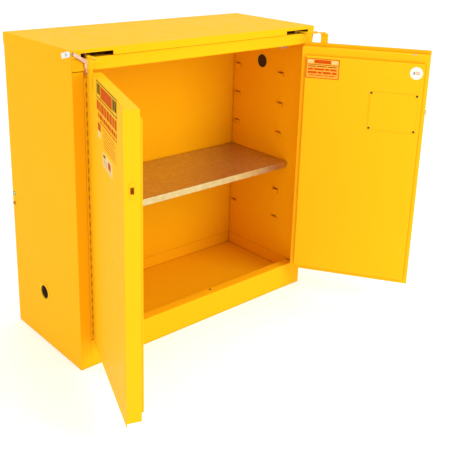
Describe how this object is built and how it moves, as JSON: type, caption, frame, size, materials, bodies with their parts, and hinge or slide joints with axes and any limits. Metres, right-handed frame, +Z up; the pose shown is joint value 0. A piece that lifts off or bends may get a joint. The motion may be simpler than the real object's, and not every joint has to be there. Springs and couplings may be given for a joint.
{
  "type": "flammable storage cabinet",
  "caption": "Two-door self-closing safety cabinet with double steel walls, one shelf, sump floor, side vents and a three-point latch; doors shown open.",
  "frame": {"origin": "middle of the cabinet's footprint on the floor", "axes": "+Z up, +X to the right seen from the front, -Y towards the doors"},
  "size_m": [1.4217, 0.9294, 1.1176],
  "materials": {
    "yellow_enamel": "satin powder coat",
    "yellow_inner": "satin powder coat",
    "yellow_door": "satin powder coat",
    "yellow_hinge": "painted steel",
    "galvanised": "spangled zinc",
    "zinc": "bright zinc plate",
    "dark_steel": "oiled steel",
    "screw_steel": "dark plated steel",
    "brass": "plain brass",
    "arrester_mesh": "woven steel mesh",
    "link_alloy": "soft solder on copper alloy",
    "tag_card": "coated card",
    "chrome": "polished",
    "black_plastic": "moulded"
  },
  "bodies": {
    "root": {"side_panel_left": "yellow_enamel", "side_panel_right": "yellow_enamel", "back_panel": "yellow_enamel", "bottom_panel": "yellow_enamel", "top_cover": "yellow_enamel", "header": "yellow_enamel", "base_front": "yellow_enamel", "inner_wall_left": "yellow_inner", "inner_wall_right": "yellow_inner", "inner_back": "yellow_inner", "ceiling_panel": "yellow_inner", "sump_pan": "yellow_inner", "vent_bung_left": "yellow_hinge", "vent_bung_right": "yellow_hinge", "flame_arrester_left": "arrester_mesh", "flame_arrester_right": "arrester_mesh", "ground_screw": "brass", "hinge_leaf_fixed_left": "yellow_hinge", "hinge_leaf_fixed_right": "yellow_hinge", "hinge_pin_left": "dark_steel", "hinge_pin_right": "dark_steel", "closer_posts": "zinc", "closer_springs": "dark_steel", "fusible_link": "link_alloy", "link_screw": "zinc", "link_strap": "link_alloy", "link_tag": "tag_card", "strike_plates": "zinc", "header_clip": "zinc"},
    "left_door": {"door_skin_left": "yellow_door", "door_liner_left": "yellow_door", "hinge_leaf_moving_left": "yellow_hinge", "strike_cup": "yellow_door", "door_bracket_left": "yellow_hinge", "bracket_screws_left": "yellow_hinge"},
    "right_door": {"door_skin_right": "yellow_door", "door_liner_right": "yellow_door", "hinge_leaf_moving_right": "yellow_hinge", "handle_recess": "black_plastic", "cam_post": "zinc", "rod_guides": "zinc", "access_cover": "yellow_door", "cover_screws": "screw_steel", "door_bracket_right": "yellow_hinge", "bracket_screws_right": "yellow_hinge"},
    "paddle": {"paddle_handle": "chrome"},
    "lock_cylinder": {"key_lock": "chrome"},
    "cam": {"latch_cam": "zinc"},
    "top_rod": {"latch_rod_top": "zinc"},
    "bottom_rod": {"latch_rod_bottom": "zinc"},
    "bolt": {"side_bolt": "zinc"},
    "arm_left": {"closer_arm_left": "yellow_hinge"},
    "link_left": {"closer_link_left": "yellow_hinge"},
    "arm_right": {"closer_arm_right": "yellow_hinge"},
    "link_right": {"closer_link_right": "yellow_hinge"},
    "shelf": {"shelf": "galvanised"}
  },
  "joints": [
    {"name": "left_door_hinge", "type": "hinge", "parent": "root", "child": "left_door", "pos_m": [-0.49, -0.23, 0.57], "axis": [0, 0, 1], "range_deg": [-9, 111]},
    {"name": "right_door_hinge", "type": "hinge", "parent": "root", "child": "right_door", "pos_m": [0.49, -0.23, 0.57], "axis": [0, 0, -1], "range_deg": [-7.5, 122.5]},
    {"name": "left_arm_pivot", "type": "hinge", "parent": "root", "child": "arm_left", "pos_m": [-0.478, -0.195, 1.0955], "axis": [0, 0, 1], "range_deg": [-9, 111]},
    {"name": "left_link_pivot", "type": "hinge", "parent": "arm_left", "child": "link_left", "pos_m": [-0.49827, -0.27291, 1.0975], "axis": [0, 0, 1], "range_deg": [-111, 9]},
    {"name": "right_arm_pivot", "type": "hinge", "parent": "root", "child": "arm_right", "pos_m": [0.478, -0.195, 1.0955], "axis": [0, 0, -1], "range_deg": [-7.5, 122.5]},
    {"name": "right_link_pivot", "type": "hinge", "parent": "arm_right", "child": "link_right", "pos_m": [0.51339, -0.26731, 1.0975], "axis": [0, 0, -1], "range_deg": [-122.5, 7.5]},
    {"name": "paddle_pivot", "type": "hinge", "parent": "right_door", "child": "paddle", "pos_m": [0.71575, -0.59366, 0.867], "axis": [0.5373, -0.8434, 0], "range_deg": [0, 30], "stiffness_Nm_per_rad": 0.6, "springref_deg": -17.19},
    {"name": "lock_turn", "type": "hinge", "parent": "right_door", "child": "lock_cylinder", "pos_m": [0.70731, -0.59903, 0.781], "axis": [-0.8434, -0.5373, 0], "range_deg": [0, 90]},
    {"name": "cam_turn", "type": "hinge", "parent": "right_door", "child": "cam", "pos_m": [0.67428, -0.56672, 0.825], "axis": [-0.8434, -0.5373, 0], "range_deg": [0, 24]},
    {"name": "top_rod_slide", "type": "slide", "parent": "right_door", "child": "top_rod", "axis": [0, 0, 1], "range_m": [0, 0.01]},
    {"name": "bottom_rod_slide", "type": "slide", "parent": "right_door", "child": "bottom_rod", "axis": [0, 0, -1], "range_m": [0, 0.01]},
    {"name": "side_bolt_slide", "type": "slide", "parent": "right_door", "child": "bolt", "axis": [0.5373, -0.8434, 0], "range_m": [0, 0.01]},
    {"name": "shelf_lift", "type": "slide", "parent": "root", "child": "shelf", "axis": [0, 0, 1], "range_m": [0, 0.08]}
  ],
  "couplings": [
    {"joint": "left_arm_pivot", "follows": "left_door_hinge", "ratio": 1},
    {"joint": "left_link_pivot", "follows": "left_door_hinge", "ratio": -1},
    {"joint": "right_arm_pivot", "follows": "right_door_hinge", "ratio": 1},
    {"joint": "right_link_pivot", "follows": "right_door_hinge", "ratio": -1},
    {"joint": "cam_turn", "follows": "bottom_rod_slide", "rad_per_m": 41.888},
    {"joint": "top_rod_slide", "follows": "bottom_rod_slide", "ratio": 1},
    {"joint": "side_bolt_slide", "follows": "bottom_rod_slide", "ratio": 1}
  ]
}
